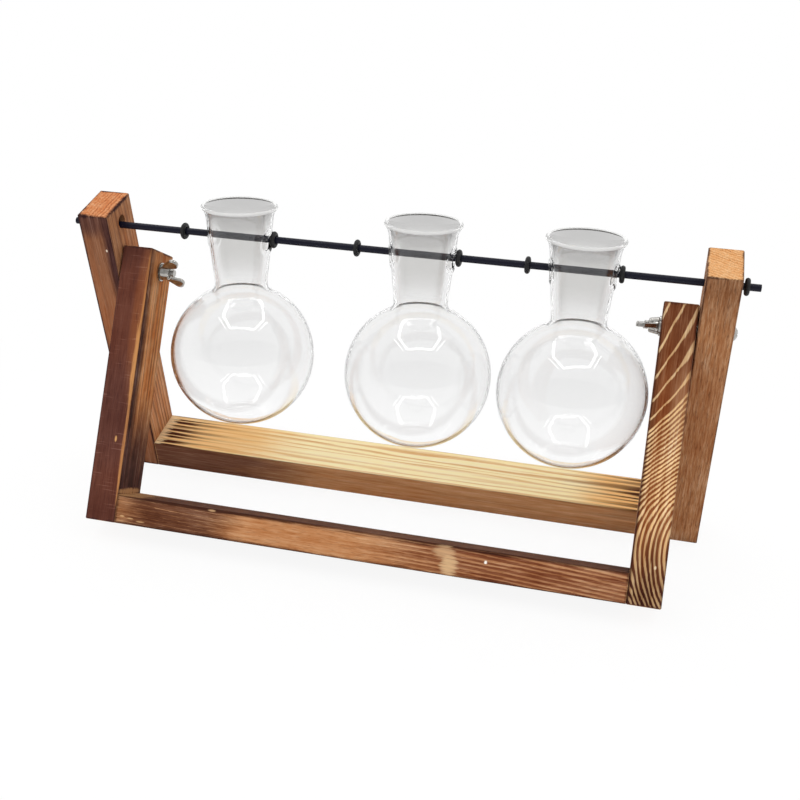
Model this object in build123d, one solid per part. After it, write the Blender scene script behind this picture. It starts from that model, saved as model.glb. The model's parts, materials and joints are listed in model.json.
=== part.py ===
from build123d import *
import math
import os

# Folding wooden stand with three glass flasks hung on a rod.
# Millimetres, +Z up, +X to the right, the viewer is towards -Y.
# The origin is on the standing surface, under the middle of the overall box.

# Timber
frame_width = 300.0           # over the outer faces of the tall posts
stock_width = 15.0            # timber section across the stand
stock_depth = 25.0            # timber section front to back
edge_round = 0.8              # softened long edges
end_bevel = 0.4               # softened end edges of posts and legs
tall_post_length = 151.0
short_leg_length = 131.5
rear_rail_height = 15.5
front_rail_height = 13.5
opening_angle = 40.3          # degrees, between the tall posts and the short legs
side_gap = 0.6                # between a tall post and the short leg beside it

# Pivot bolts, washers and wing nuts
pivot_below_rod = 24.3        # along a tall post
pivot_from_leg_top = 9.5
bolt_diameter = 4.0
bolt_tail = 2.0               # thread left showing past the nut's hub
bolt_head_diameter = 7.6
bolt_head_height = 2.4
bolt_head_round = 1.1
drive_slot_width = 1.1
drive_slot_length = 4.6
drive_slot_depth = 1.2
pivot_clearance = 0.06        # radial, bolt in timber and nut
washer_outer_diameter = 9.0
washer_thickness = 0.8
washer_clearance = 0.15       # radial, washer on bolt
hub_base_diameter = 8.0
hub_top_diameter = 6.6
hub_height = 4.6
wing_span = 18.0              # tip to tip
wing_height = 10.0            # from the seat to the tips
wing_thickness = 1.9
wing_tip_radius = 2.6
left_wing_turn = 31.0         # degrees from upright
right_wing_turn = 74.0

# Dowels that join the rails
dowel_diameter = 6.0
dowel_cover = 5.0             # timber left outside the dowel in a post or leg
dowel_depth_in_rail = 12.0
dowel_spacing = 12.0          # between the two dowels of one joint
dowel_clearance = 0.05
dowel_end_room = 0.5          # glue room at each end of a dowel

# Hanging rod and its rubber rings
rod_diameter = 3.2
rod_tail = 4.7                # past the end ring on each side
rod_end_round = 0.3
rod_from_post_top = 10.4
rod_hole_diameter = 6.5       # the rod lies on the bottom of this hole
rod_rest_gap = 0.04
ring_section = 2.3            # thickness of a rubber ring
ring_bore_gap = 0.02          # radial, ring on rod
end_ring_gap = 1.5            # from the post to its end ring

# Flasks
bulb_diameter = 68.8
least_bulb_gap = 1.0          # as many flasks hang between the legs as this room lets in
left_end_gap = 9.8            # from the left leg to the first bulb; all four gaps stretch to fill the rod
bulb_gaps = (18.2, 3.2)       # from each bulb to the next
right_end_gap = 1.2           # from the last bulb to the right leg
ring_slack = (11.2, 14.2, 8.2)   # free rod on the far side of each neck
bulb_below_rod = 57.9         # centre of the bulb under the rod's axis
base_flat_diameter = 24.0
glass_wall = 1.3
neck_root_diameter = 24.8     # narrowest part, at the top of the bulb
neck_root_below_rod = 21.8
neck_top_diameter = 31.2      # where the lip begins to flare
neck_top_above_rod = 8.6
shoulder_round = 5.0
lip_diameter = 35.4
lip_top_above_rod = 15.0
lip_thickness = 1.8
neck_hole_diameter = 6.4
neck_hole_gap = 0.05          # between the rod and the top of the hole it carries
bead_diameter = 12.0          # fire-polished bead round each neck hole
bead_rise = 0.5
ring_seat_gap = 0.3           # from the bead to the ring that stops it

# Places worked out from the sizes above
post_outer_x = frame_width / 2
post_inner_x = post_outer_x - stock_width
leg_outer_x = post_inner_x - side_gap
leg_inner_x = leg_outer_x - stock_width
half_depth = stock_depth / 2
foot_reach = half_depth - end_bevel
washer_seat = post_outer_x - leg_inner_x      # from a post's outer face to the leg's inner face
nut_seat = washer_seat + washer_thickness
bolt_length = nut_seat + hub_height + bolt_tail
bolt_radius = bolt_diameter / 2
rod_radius = rod_diameter / 2
rod_length = frame_width + 2 * (end_ring_gap + ring_section + rod_tail)

# The tall posts stand on their front lower edge and the short legs on their rear lower edge.
# The pivot and these two edges make a triangle on the floor, which gives the lean of both frames.
pivot_up_post = tall_post_length - rod_from_post_top - pivot_below_rod
leg_below_pivot = short_leg_length - pivot_from_leg_top
post_reach = math.hypot(pivot_up_post, foot_reach)
leg_reach = math.hypot(leg_below_pivot, foot_reach)
post_edge_angle = math.atan2(foot_reach, pivot_up_post)
leg_edge_angle = math.atan2(foot_reach, leg_below_pivot)
edge_angle = math.radians(opening_angle) - post_edge_angle - leg_edge_angle
post_edge_lean = math.atan2(post_reach - leg_reach * math.cos(edge_angle), leg_reach * math.sin(edge_angle))
tall_angle = post_edge_lean + post_edge_angle
tall_lean = math.degrees(tall_angle)          # top of the tall posts towards the viewer
short_lean = opening_angle - tall_lean        # top of the short legs away from the viewer
short_angle = math.radians(short_lean)
pivot_z = post_reach * math.cos(post_edge_lean)

# Front and back of the overall box, measured from the pivot, put the origin in its middle.
rod_before_pivot = pivot_below_rod * math.sin(tall_angle)
leg_front = (leg_below_pivot - end_bevel) * math.sin(short_angle) + half_depth * math.cos(short_angle)
post_back = (pivot_up_post - end_bevel) * math.sin(tall_angle) + half_depth * math.cos(tall_angle)
front_from_pivot = max(leg_front, bulb_diameter / 2 + rod_before_pivot)
back_from_pivot = max(post_back, bulb_diameter / 2 - rod_before_pivot)
pivot_y = (front_from_pivot - back_from_pivot) / 2

rod_y = pivot_y - rod_before_pivot
rod_z = pivot_z + pivot_below_rod * math.cos(tall_angle)
rod_hole_rise = rod_hole_diameter / 2 - rod_radius - rod_rest_gap
neck_hole_drop = neck_hole_diameter / 2 - rod_radius - neck_hole_gap

# The flasks fill the rod between the short legs.
flask_room = 2 * leg_inner_x
flask_count = int((flask_room - least_bulb_gap) // (bulb_diameter + least_bulb_gap))
middle_names = [f"middle_{k}" if k > 1 else "middle" for k in range(1, flask_count - 1)]
flask_names = ["left", *middle_names, "right"][:flask_count]
gaps = [left_end_gap, *[bulb_gaps[k % len(bulb_gaps)] for k in range(flask_count - 1)], right_end_gap]
gap_stretch = (flask_room - flask_count * bulb_diameter) / sum(gaps)
flask_centres = []
bulb_end = -leg_inner_x
for gap in gaps[:-1]:
    flask_centres.append(bulb_end + gap * gap_stretch + bulb_diameter / 2)
    bulb_end = flask_centres[-1] + bulb_diameter / 2

tall_place = Location((0, pivot_y, pivot_z), (tall_lean, 0, 0)) * Location((0, 0, -pivot_up_post))
short_place = Location((0, pivot_y, pivot_z), (-short_lean, 0, 0)) * Location((0, 0, -leg_below_pivot))


def along_x(radius, x_start, x_end, y=0.0, z=0.0):
    """A round bar along X between two places."""
    bar = Cylinder(radius, abs(x_end - x_start), rotation=(0, 90, 0))
    return Pos((x_start + x_end) / 2, y, z) * bar


def upright(length, x_centre):
    """Timber standing on its end, with softened edges."""
    timber = Pos(x_centre, 0, length / 2) * Box(stock_width, stock_depth, length)
    timber = fillet(timber.edges().filter_by(Axis.Z), edge_round)
    ends = timber.faces().sort_by(Axis.Z)
    return chamfer(ends[0].edges() + ends[-1].edges(), end_bevel)


def rail(length, height):
    """Timber lying across the stand on the frame's foot line."""
    timber = Pos(0, 0, height / 2) * Box(length, stock_depth, height)
    return fillet(timber.edges().filter_by(Axis.X), edge_round)


def dowel_places(joint_x, height):
    """The two dowels of the joint between a rail and the timber at its end."""
    side = math.copysign(1, joint_x)
    start = joint_x - side * dowel_depth_in_rail
    end = joint_x + side * (stock_width - dowel_cover)
    for name, y in (("front", -dowel_spacing / 2), ("back", dowel_spacing / 2)):
        yield name, start, end, y, height / 2


def dowel(place):
    name, start, end, y, z = place
    side = math.copysign(1, end)
    return along_x(dowel_diameter / 2, start + side * dowel_end_room, end - side * dowel_end_room, y, z)


def dowel_holes(joint_x, height):
    radius = dowel_diameter / 2 + dowel_clearance
    holes = [along_x(radius, start, end, y, z) for name, start, end, y, z in dowel_places(joint_x, height)]
    return holes[0] + holes[1]


def frame_timber(length, x_centre, joint_x, rail_height):
    """A post or leg, bored for the dowels of its rail."""
    return upright(length, x_centre) - dowel_holes(joint_x, rail_height)


def pivot_bore(pivot_height):
    return along_x(bolt_radius + pivot_clearance, -frame_width, frame_width, z=pivot_height)


def rod_bore():
    """The oversize hole for the rod, in the finished stand's place."""
    return along_x(rod_hole_diameter / 2, -frame_width, frame_width, rod_y, rod_z + rod_hole_rise)


def tall_post(side):
    timber = frame_timber(tall_post_length, side * (post_outer_x - stock_width / 2), side * post_inner_x,
                          rear_rail_height)
    return tall_place * (timber - pivot_bore(pivot_up_post)) - rod_bore()


def short_leg(side):
    timber = frame_timber(short_leg_length, side * (leg_outer_x - stock_width / 2), side * leg_inner_x,
                          front_rail_height)
    return short_place * (timber - pivot_bore(leg_below_pivot))


def bored_rail(end_x, height):
    return rail(2 * end_x, height) - dowel_holes(end_x, height) - dowel_holes(-end_x, height)


def on_pivot(side, shape):
    """Puts a shape that points along +Z at the pivot, pointing inwards from the outer face."""
    turn = 90 if side < 0 else -90
    return Location((side * post_outer_x, pivot_y, pivot_z), (0, turn, 0)) * shape


def pivot_bolt(side):
    """Round-headed bolt: the head seats on the post's outer face, the shank points inwards."""
    head = Cylinder(bolt_head_diameter / 2, bolt_head_height)
    head = Pos(0, 0, -bolt_head_height / 2) * fillet(head.edges().sort_by(Axis.Z)[0], bolt_head_round)
    slot = Box(drive_slot_length, drive_slot_width, 2 * drive_slot_depth)
    cross = Pos(0, 0, -bolt_head_height) * (slot + Rot(0, 0, 90) * slot)
    shank = Pos(0, 0, bolt_length / 2) * Cylinder(bolt_radius, bolt_length)
    return on_pivot(side, head - cross + shank)


def washer(side):
    ring = Cylinder(washer_outer_diameter / 2, washer_thickness)
    ring -= Cylinder(bolt_radius + washer_clearance, washer_thickness)
    return on_pivot(side, Pos(0, 0, washer_seat + washer_thickness / 2) * ring)


def wing_pair():
    """Both ears of a wing nut, upright on the hub, spreading along X."""
    tip_x = wing_span / 2 - wing_tip_radius
    tip_z = wing_height - wing_tip_radius
    root_x = hub_top_diameter / 2
    tip = Pos(tip_x, tip_z) * Circle(wing_tip_radius)
    root = Pos(root_x / 2, hub_height / 2) * Rectangle(root_x, hub_height)
    ear_face = make_hull(tip.edges() + root.edges())
    ear = Rot(90, 0, 0) * extrude(ear_face, wing_thickness / 2, both=True)
    return ear + mirror(ear, Plane.YZ)


def wing_nut(side, turn):
    """Tapered hub with two upright ears that spread as they rise."""
    hub = Pos(0, 0, hub_height / 2) * Cone(hub_base_diameter / 2, hub_top_diameter / 2, hub_height)
    bore = Cylinder(bolt_radius + pivot_clearance, 2 * wing_height)
    nut = hub + wing_pair() - bore
    return on_pivot(side, Pos(0, 0, nut_seat) * Rot(0, 0, -side * turn) * nut)


def hanging_rod():
    bar = Cylinder(rod_radius, rod_length, rotation=(0, 90, 0))
    ends = bar.edges().filter_by(GeomType.CIRCLE)
    return Pos(0, rod_y, rod_z) * fillet(ends, rod_end_round)


def rubber_ring(x):
    section_radius = ring_section / 2
    ring = Torus(rod_radius + ring_bore_gap + section_radius, section_radius, rotation=(0, 90, 0))
    return Pos(x, rod_y, rod_z) * ring


def neck_radius_at(height):
    """Outer radius of the straight neck at a height over the rod's axis."""
    share = (height + neck_root_below_rod) / (neck_top_above_rod + neck_root_below_rod)
    return (neck_root_diameter + share * (neck_top_diameter - neck_root_diameter)) / 2


def neck_outline(bottom, inset):
    """Upright section of the straight neck down to a height, drawn in by an inset."""
    top = neck_top_above_rod
    low_half = neck_radius_at(bottom) - inset
    top_half = neck_radius_at(top) - inset
    return Polygon((-low_half, bottom), (low_half, bottom), (top_half, top), (-top_half, top), align=None)


def flask_outline(inset):
    """Upright section of bulb and neck about the rod's axis, drawn in by an inset."""
    bulb_radius = bulb_diameter / 2
    base_drop = math.sqrt(bulb_radius ** 2 - (base_flat_diameter / 2) ** 2)
    centre = -bulb_below_rod
    base = centre - base_drop + inset
    bulb = Pos(0, centre) * Circle(bulb_radius - inset)
    above_base = Pos(0, base + bulb_diameter) * Rectangle(2 * bulb_diameter, 2 * bulb_diameter)
    outline = (bulb & above_base) + neck_outline(centre, inset)
    shoulder = [v for v in outline.vertices() if centre + shoulder_round < v.Y < 0]
    return fillet(shoulder, shoulder_round + inset)


def revolved(outline):
    half = outline & (Pos(frame_width / 2, 0) * Rectangle(frame_width, 4 * frame_width))
    return revolve(Rot(90, 0, 0) * half, Axis.Z)


def flask_lip():
    """Flared rim with a rounded edge, from the neck's top outwards."""
    low = Vector(neck_radius_at(neck_top_above_rod) - glass_wall / 2, neck_top_above_rod)
    high = Vector(lip_diameter / 2 - lip_thickness / 2, lip_top_above_rod - lip_thickness / 2)
    flare = make_hull(
        (Pos(low.X, low.Y) * Circle(glass_wall / 2)).edges()
        + (Pos(high.X, high.Y) * Circle(lip_thickness / 2)).edges()
    )
    return revolve(Rot(90, 0, 0) * flare, Axis.Z)


def neck_beads():
    """Thickened glass round the two holes of the neck."""
    bottom = -neck_root_below_rod
    outside = revolved(neck_outline(bottom, -bead_rise))
    inside = revolved(neck_outline(bottom, glass_wall + bead_rise))
    return (outside - inside) & along_x(bead_diameter / 2, -lip_diameter, lip_diameter, z=-neck_hole_drop)


def flask(x):
    shell = revolved(flask_outline(0)) - revolved(flask_outline(glass_wall))
    hole = along_x(neck_hole_diameter / 2, -lip_diameter, lip_diameter, z=-neck_hole_drop)
    return Pos(x, rod_y, rod_z) * (shell + flask_lip() + neck_beads() - hole)


def ring_places(centre, slack):
    """Where the two rubber rings of a flask sit on the rod: free side and resting side."""
    reach = neck_radius_at(0) + bead_rise + ring_section / 2
    return centre - reach - slack, centre + reach + ring_seat_gap


nodes = {}

for side_name, side in (("left", -1), ("right", 1)):
    nodes[f"{side_name}_tall_post"] = tall_post(side)
    nodes[f"{side_name}_short_leg"] = short_leg(side)
    nodes[f"{side_name}_pivot_bolt"] = pivot_bolt(side)
    nodes[f"{side_name}_washer"] = washer(side)
    nodes[f"{side_name}_wing_nut"] = wing_nut(side, left_wing_turn if side < 0 else right_wing_turn)
    nodes[f"{side_name}_end_ring"] = rubber_ring(side * (post_outer_x + end_ring_gap + ring_section / 2))
    for place in dowel_places(side * post_inner_x, rear_rail_height):
        nodes[f"rear_rail_{side_name}_{place[0]}_dowel"] = tall_place * dowel(place)
    for place in dowel_places(side * leg_inner_x, front_rail_height):
        nodes[f"front_rail_{side_name}_{place[0]}_dowel"] = short_place * dowel(place)

nodes["rear_rail"] = tall_place * bored_rail(post_inner_x, rear_rail_height)
nodes["front_rail"] = short_place * bored_rail(leg_inner_x, front_rail_height)
nodes["hanging_rod"] = hanging_rod()

for k, (name, centre) in enumerate(zip(flask_names, flask_centres)):
    free_side, resting_side = ring_places(centre, ring_slack[k % len(ring_slack)])
    nodes[f"{name}_flask"] = flask(centre)
    nodes[f"{name}_flask_free_ring"] = rubber_ring(free_side)
    nodes[f"{name}_flask_stop_ring"] = rubber_ring(resting_side)

os.makedirs("parts", exist_ok=True)
for name, shape in nodes.items():
    export_step(shape, f"parts/{name}.step")

print("tall lean", round(tall_lean, 3), "short lean", round(short_lean, 3), "degrees")
print("flask centres", [round(centre, 3) for centre in flask_centres])
print("pivot y, z", round(pivot_y, 3), round(pivot_z, 3))
print("rod y, z", round(rod_y, 3), round(rod_z, 3))
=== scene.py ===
import json
import math
from functools import partial

import bmesh
import bpy
from mathutils import Matrix, Vector


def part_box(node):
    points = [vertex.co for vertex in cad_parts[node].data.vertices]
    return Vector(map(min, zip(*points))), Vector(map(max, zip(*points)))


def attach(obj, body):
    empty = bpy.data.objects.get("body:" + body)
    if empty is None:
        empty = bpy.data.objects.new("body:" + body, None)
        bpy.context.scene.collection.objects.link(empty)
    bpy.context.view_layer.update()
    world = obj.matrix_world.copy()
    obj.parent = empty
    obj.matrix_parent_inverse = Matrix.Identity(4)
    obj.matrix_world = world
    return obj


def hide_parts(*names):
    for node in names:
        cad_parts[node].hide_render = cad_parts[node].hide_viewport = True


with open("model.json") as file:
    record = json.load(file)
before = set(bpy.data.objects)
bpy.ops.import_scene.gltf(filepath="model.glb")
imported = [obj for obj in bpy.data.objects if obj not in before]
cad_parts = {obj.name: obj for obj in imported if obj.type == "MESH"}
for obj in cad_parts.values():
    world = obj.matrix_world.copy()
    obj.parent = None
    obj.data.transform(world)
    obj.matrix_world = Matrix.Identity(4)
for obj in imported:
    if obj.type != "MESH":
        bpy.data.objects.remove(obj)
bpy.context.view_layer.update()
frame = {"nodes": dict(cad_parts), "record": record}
mm = 0.001
print("frame loaded:", len(frame["nodes"]), "nodes")

smoothStep = {"interpolation_type": "SMOOTHSTEP"}  # a range with soft ends
inColour = {"data_type": "RGBA"}                   # a mix of colours


def linear(hexColour):  # sRGB hex to linear RGBA
    shares = [int(hexColour[i:i + 2], 16) / 255 for i in (1, 3, 5)]
    return (*(s / 12.92 if s <= 0.04045 else ((s + 0.055) / 1.055) ** 2.4 for s in shares), 1.0)


def addNode(tree, prefix, kind, values, out=0):  # one node with settings and links; hands back an output
    kind, *operation = kind.split()  # "Math ADD" is a Math node set to ADD
    node = tree.nodes.new(prefix + kind)
    if operation:
        node.operation = operation[0]
    settings = {k: v for k, v in values.items() if isinstance(k, str) and hasattr(node, k)}
    for key, value in settings.items():
        setattr(node, key, value)
    inputs = {k: v for k, v in values.items() if k not in settings}
    for end in ("From", "To"):  # a pair fills a range's Min and Max
        if end in inputs:
            inputs[end + " Min"], inputs[end + " Max"] = inputs.pop(end)
    for key, value in inputs.items():
        if isinstance(value, bpy.types.NodeSocket):
            tree.links.new(value, node.inputs[key])
        else:
            node.inputs[key].default_value = value
    return node.outputs[out] if len(node.outputs) else node


def newMaterial(name):
    material = bpy.data.materials.new(name)
    material.use_nodes = True
    material.node_tree.nodes.clear()
    return material, partial(addNode, material.node_tree, "ShaderNode")


def newTree(name, inputs):  # a Geometry Nodes tree with named inputs, and what they hand over
    tree = bpy.data.node_groups.new(name, "GeometryNodeTree")
    tree.is_modifier = True
    tree.interface.new_socket("Geometry", in_out="OUTPUT", socket_type="NodeSocketGeometry")
    for socketName, kind in inputs.items():
        tree.interface.new_socket(socketName, in_out="INPUT", socket_type="NodeSocket" + kind)
    add = partial(addNode, tree, "")
    return tree, add, add("NodeGroupInput", {}).node.outputs


def closeTree(add, geometry, material):
    solid = add("GeometryNodeRealizeInstances", {"Geometry": geometry})
    coated = add("GeometryNodeSetMaterial", {"Geometry": solid, "Material": material})
    add("NodeGroupOutput", {"Geometry": coated})


def coat(mesh, material):
    mesh.materials.clear()
    mesh.materials.append(material)


def newObject(name, mesh, material):
    obj = bpy.data.objects.new(name, mesh)
    bpy.context.scene.collection.objects.link(obj)
    coat(mesh, material)
    return obj


def finishedMesh(obj):  # with its modifiers applied
    return bpy.data.meshes.new_from_object(obj.evaluated_get(bpy.context.evaluated_depsgraph_get()))


def bakeTree(obj, tree, values):  # runs a Geometry Nodes tree once and keeps its mesh
    modifier = obj.modifiers.new(tree.name, "NODES")
    modifier.node_group = tree
    names = {s.name: s.identifier for s in tree.interface.items_tree if s.in_out == "INPUT"}
    for name, value in values.items():
        modifier[names[name]] = value
    baked = finishedMesh(obj)
    obj.modifiers.clear()
    obj.data = baked


rodLo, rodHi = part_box("hanging_rod")
rodAxis = (rodLo + rodHi) / 2
washerLo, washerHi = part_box("left_washer")
pivotAxis = (washerLo + washerHi) / 2


# Timber: grain runs along each piece, dark where the torch dwelt on edges and ends.
pine = {
    "lean": 15.0,              # degrees, the frame that the piece belongs to
    "upright": True,           # posts and legs stand, rails lie
    "front": ("#A87148", "#7F5233", 0.4),  # ground, line and strength on front and back
    "side": ("#B47F52", "#5B3326", 0.6),   # on the sides of a post, or top and bottom of a rail
    "end": ("#D9A06C", "#B4764A", 0.6),    # on sawn ends
    "frontFade": (0.15, 0.5),  # mm under the front over which it gives way to the side
    "endFade": (0.08, 0.4),    # the same under sawn ends
    "tilt": 90.0,              # degrees, 0 lays the growth lines across the front, 90 across the sides
    "endTilt": 10.0,           # degrees, the same on sawn ends
    "offset": 40.0,            # mm, where in the log the piece was cut
    "spacing": 2.4,            # mm between growth lines
    "endSpacing": 1.7,         # mm between them on sawn ends
    "lineShare": 0.5,          # share of a growth ring that is line
    "lineEdge": (0.26, 0.56),  # of that share, where a line starts to fade and is gone
    "endEdge": (0.2, 0.48),    # of a ring on sawn ends, where a line starts and is full
    "wide": (500.0, 5.0, 0.3),  # past this many mm the rings are this wide, with this share of line
    "swell": None,             # mm at the low and high end where lines widen, how many times, their colour
    "flare": (),               # patches, as below, in which the lines widen by the strength
    "uneven": 0.6,             # how much the lines differ in strength
    "slope": 0.0,              # growth lines running out of the piece, mm per mm
    "drift": (),               # mm from the low end, mm that the lines wander
    "wobble": 1.2,             # mm
    "fibreLength": 25.0,       # how many times longer than wide
    "fibre": 0.34,             # depth of the fine fibres
    "calmFront": 1.0,          # share of that depth left on the front
    "streak": 0.26,            # depth of the long streaks
    "blotch": 0.14,            # depth of the cloudy tone
    "pores": 0.35,             # strength of short dark pores
    "char": "#2B1518",
    "edgeChar": 0.85,
    "edgeWidth": 1.3,          # mm
    "endChar": ((8, 0.4), (8, 0.4)),  # mm and strength at the low and high end
    "patches": (),             # face, along, beside, length, width in mm, colour, strength; + lies over lines
    "bareEnd": None,           # rubbed low end of the sides: mm, colour, strength
    "scratches": 0.0,          # pale saw marks across the front
    "roughness": (0.55, 0.8),
    "relief": 0.05,            # mm that fibres and lines stand proud
    "seed": (0.0, 0.0, 0.0),
}


def paintTimber(node, timber):
    lo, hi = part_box(node)
    halfX, halfDeep, halfUp = (s / 2 for s in timber["size"])
    upright = timber["upright"]
    halfAlong, halfAcross = (halfUp, halfX) if upright else (halfX, halfUp)
    material, add = newMaterial("torched pine, thin matt sealer, " + node.replace("_", " "))
    char = linear(timber["char"])
    place = add("TexCoord", {}, "Object")
    local = add("Mapping", {
        "vector_type": "TEXTURE", "Vector": place, "Location": (lo + hi) / 2,
        "Rotation": (math.radians(timber["lean"]), 0, 0), "Scale": (mm, mm, mm)})
    axes = add("SeparateXYZ", {0: local}).node.outputs
    deep = axes[1]
    across, along = (axes[0], axes[2]) if upright else (axes[2], axes[0])
    short = 1 / timber["fibreLength"]
    stretched = (1, 1, short) if upright else (short, 1, 1)
    grain = add("Mapping", {"Vector": local, "Location": timber["seed"], "Scale": stretched})

    # Noises by waves to a mm across the grain: fibres 0.6 mm wide, pores 0.3, streaks 4, clouds 16, wander 7.
    fibre, pore, streak, cloud, wander = (
        add("TexNoise", {"Vector": vector, "Scale": perMm, "Detail": detail, "Roughness": harsh})
        for vector, perMm, detail, harsh in (
            (grain, 1.6, 5.0, 0.7), (grain, 3.1, 2.0, 0.5), (grain, 0.27, 3.0, 0.6),
            (local, 0.06, 4.0, 0.6), (grain, 0.14, 3.0, 0.5)))
    turn = add("Math SUBTRACT", {0: wander, 1: 0.5})
    fray = add("Math SUBTRACT", {0: fibre, 1: 0.5})
    ragged = add("Math MULTIPLY_ADD", {0: fray, 1: 0.6, 2: turn})

    def patchMask(patch, noise, fuzz, core):  # an ellipse on a face, with a frayed outline
        face, alongMm, besideMm, lengthMm, widthMm, _, amount = patch
        beside = across if face.startswith("front") else deep
        far = 0.0
        for axis, centre, half in ((along, alongMm, lengthMm / 2), (beside, besideMm, widthMm / 2)):
            offset = add("Math SUBTRACT", {0: axis, 1: centre})
            offset = add("Math DIVIDE", {0: offset, 1: half})
            far = add("Math MULTIPLY_ADD", {0: offset, 1: offset, 2: far})
        far = add("Math MULTIPLY_ADD", {0: noise, 1: fuzz, 2: far})
        return add("MapRange", {**smoothStep, "Value": far, "From": (core, 1.1), "To": (amount, 0.0)})

    def endMask(reaches, strengths, fuzz, full):  # from each end inwards, at full strength over a share
        mask = 0.0
        for sign, reachMm, strength in zip((-1, 1), reaches, strengths):
            outwards = add("Math MULTIPLY", {0: along, 1: sign})
            outwards = add("Math MULTIPLY_ADD", {0: ragged, 1: fuzz * reachMm, 2: outwards})
            end = add("MapRange", {
                **smoothStep, "Value": outwards, "From": (halfAlong - reachMm, halfAlong - full * reachMm),
                "To Max": strength})
            mask = add("Math MAXIMUM", {0: end, 1: mask})
        return mask

    # Distance from each pair of faces, and from the nearest edge.
    gaps = []
    for axis, half in ((across, halfAcross), (deep, halfDeep), (along, halfAlong)):
        size = add("Math ABSOLUTE", {0: axis})
        gaps.append(add("Math SUBTRACT", {0: half, 1: size}))
    least = add("Math MINIMUM", {0: gaps[0], 1: gaps[1]})
    most = add("Math MAXIMUM", {0: gaps[0], 1: gaps[1]})
    capped = add("Math MINIMUM", {0: most, 1: gaps[2]})
    edge = add("Math MAXIMUM", {0: least, 1: capped})
    onFront, onEnd = (
        add("MapRange", {"Value": gap, "From": fade, "To": (1.0, 0.0)})
        for gap, fade in ((gaps[1], timber["frontFade"]), (gaps[2], timber["endFade"])))
    onSide = add("Math SUBTRACT", {0: 1.0, 1: onFront})

    # Growth lines: a field that counts rings through the timber.
    tilt = math.radians(timber["tilt"])
    field = timber["offset"]
    for axis, share in ((across, math.cos(tilt)), (deep, math.sin(tilt)), (along, timber["slope"]),
                        (turn, 4 * timber["wobble"]), (fray, 0.8)):
        field = add("Math MULTIPLY_ADD", {0: axis, 1: share, 2: field})
    if timber["drift"]:
        reach = max(aside for _, aside in timber["drift"])
        share = add("MapRange", {"Value": along, "From": (-halfAlong, halfAlong)})
        curve = add("FloatCurve", {"Value": share})
        points = curve.node.mapping.curves[0].points
        for mmUp, mmAside in timber["drift"][1:-1]:
            points.new(mmUp / halfAlong / 2, mmAside / reach)
        points[0].location = (0.0, timber["drift"][0][1] / reach)
        points[-1].location = (1.0, timber["drift"][-1][1] / reach)
        curve.node.mapping.update()
        field = add("Math MULTIPLY_ADD", {0: curve, 1: reach, 2: field})
    wideFrom, wideSpacing, wideShare = timber["wide"]
    close = add("Math MINIMUM", {0: field, 1: wideFrom})
    close = add("Math DIVIDE", {0: close, 1: timber["spacing"]})
    past = add("Math SUBTRACT", {0: field, 1: wideFrom})
    past = add("Math MAXIMUM", {0: past, 1: 0.0})
    phase = add("Math MULTIPLY_ADD", {0: past, 1: 1 / wideSpacing, 2: close})
    count = add("Math FLOOR", {0: phase})
    chance = add("TexWhiteNoise", {"noise_dimensions": "1D", "W": count})

    # How wide each line is: thinner by chance, livelier along the streaks, wider in flares and swollen ends.
    share = add("MapRange", {"Value": past, "From Max": 3.0, "To": (timber["lineShare"], wideShare)})
    widths = [
        add("MapRange", {"Value": chance, "To": (1 - 0.5 * timber["uneven"], 1.0)}),
        add("MapRange", {"Value": streak, "From": (0.3, 0.7), "To": (0.7, 1.3)})]
    for patch in timber["flare"]:
        widths.append(add("Math ADD", {0: patchMask(patch, turn, 1.0, 0.0), 1: 1.0}))
    swollen = 0.0
    if timber["swell"]:
        lowMm, highMm, times, swellColour = timber["swell"]
        swollen = endMask((lowMm, highMm), (1.0, 1.0), 1.0, 0.2)
        widths.append(add("MapRange", {"Value": swollen, "To": (1.0, times)}))
    for width in widths:
        share = add("Math MULTIPLY", {0: share, 1: width})
    saw = add("Math FRACT", {0: phase})
    near = add("Math PINGPONG", {0: saw, 1: 0.5})
    near = add("Math DIVIDE", {0: near, 1: share})
    line = add("MapRange", {**smoothStep, "Value": near, "From": timber["lineEdge"], "To": (1.0, 0.0)})
    weak = add("MapRange", {"Value": chance, "To": (1 - timber["uneven"], 1.0)})
    broken = add("MapRange", {"Value": streak, "From": (0.3, 0.6), "To": (0.5, 1.0)})
    weak = add("Math MULTIPLY", {0: weak, 1: broken})
    weak = add("Math MAXIMUM", {0: weak, 1: swollen})
    line = add("Math MULTIPLY", {0: line, 1: weak})
    endTilt = math.radians(timber["endTilt"])
    endField = 0.0
    endRings = 1 / timber["endSpacing"]
    for axis, share in ((across, math.cos(endTilt) * endRings), (deep, math.sin(endTilt) * endRings),
                        (turn, 1.4), (cloud, 1.5)):
        endField = add("Math MULTIPLY_ADD", {0: axis, 1: share, 2: endField})
    endNear = add("Math PINGPONG", {0: endField, 1: 0.5})
    endLine = add("MapRange", {**smoothStep, "Value": endNear, "From": timber["endEdge"]})
    endCount = add("Math FLOOR", {0: endField})
    endChance = add("TexWhiteNoise", {"noise_dimensions": "1D", "W": endCount})
    endWeak = add("MapRange", {"Value": endChance, "To": (0.35, 1.0)})
    endLine = add("Math MULTIPLY", {0: endLine, 1: endWeak})

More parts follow.
